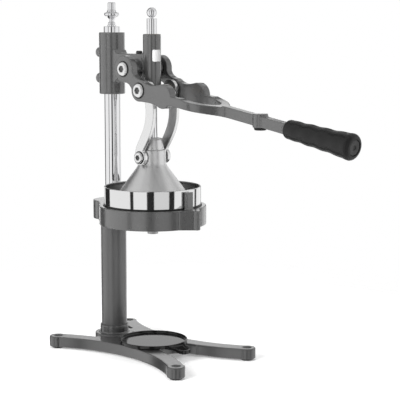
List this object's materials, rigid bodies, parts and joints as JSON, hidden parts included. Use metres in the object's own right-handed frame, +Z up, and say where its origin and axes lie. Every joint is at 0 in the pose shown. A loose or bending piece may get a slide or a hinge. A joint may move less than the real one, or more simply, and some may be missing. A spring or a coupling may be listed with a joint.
{
  "type": "lever citrus juice press",
  "caption": "Hand-lever press that drives a cone down into a strainer cup so fruit juice runs from a nozzle into a glass stood on the base.",
  "frame": {"origin": "centre of the four foot holes at table height", "axes": "+X the way the lever points, +Y to the left seen from behind the column, +Z up"},
  "size_m": [0.5395, 0.1786, 0.541],
  "materials": {
    "painted_casting": "satin",
    "painted_steel": "satin",
    "black_steel": "satin",
    "chromed_steel": "polished",
    "polished_stainless": "polished",
    "brushed_stainless": "brushed",
    "zinc_steel": "satin",
    "satin_aluminium": "satin",
    "bronze": "satin",
    "black_rubber": "matte",
    "black_plastic": "gloss"
  },
  "bodies": {
    "frame": {"base_casting": "painted_casting", "foot_pads": "black_rubber", "tie_bolt": "zinc_steel", "tie_washer": "zinc_steel", "column_tube": "painted_casting", "post_rod": "chromed_steel", "post_finial": "chromed_steel", "cup_holder": "painted_casting", "holder_set_screw": "black_steel", "juice_cup": "brushed_stainless", "cup_nozzle": "brushed_stainless", "strainer": "brushed_stainless", "reamer": "brushed_stainless"},
    "head": {"head_bracket": "painted_casting", "clamp_screws": "painted_steel", "guide_bush_upper": "bronze", "guide_bush_lower": "bronze", "fulcrum_pin": "zinc_steel", "fulcrum_screws": "polished_stainless", "fulcrum_lock_screw": "black_steel"},
    "lever": {"lever": "painted_casting", "lever_bushes": "bronze", "crank_screws": "polished_stainless", "lever_bumper": "black_rubber", "hand_grip": "black_rubber", "grip_end_cap": "black_steel"},
    "press": {"cone_rim": "satin_aluminium", "press_cone": "satin_aluminium", "cone_collar": "satin_aluminium", "plunger_rod": "chromed_steel", "plunger_ball": "chromed_steel", "link_screws": "polished_stainless"},
    "links": {"link_left": "brushed_stainless", "link_right": "brushed_stainless", "link_bushes": "bronze"},
    "tray": {"drip_tray": "black_plastic"}
  },
  "joints": [
    {"name": "head_height", "type": "slide", "parent": "frame", "child": "head", "axis": [0, 0, 1], "range_m": [0, 0.009]},
    {"name": "lever_pivot", "type": "hinge", "parent": "head", "child": "lever", "pos_m": [-0.013, 0, 0.441], "axis": [0, -1, 0], "range_deg": [0, 70]},
    {"name": "press_slide", "type": "slide", "parent": "head", "child": "press", "axis": [0, 0, 1], "range_m": [0, 0.054]},
    {"name": "link_swing", "type": "hinge", "parent": "press", "child": "links", "pos_m": [0.006, 0, 0.308], "axis": [0, 1, 0], "range_deg": [0, 7.1]},
    {"name": "tray_lift", "type": "slide", "parent": "frame", "child": "tray", "axis": [0, 0, 1], "range_m": [0, 0.06]}
  ],
  "couplings": [
    {"joint": "press_slide", "follows": "lever_pivot", "m_per_rad": 0.0441},
    {"joint": "link_swing", "follows": "lever_pivot", "ratio": 0.1004}
  ]
}
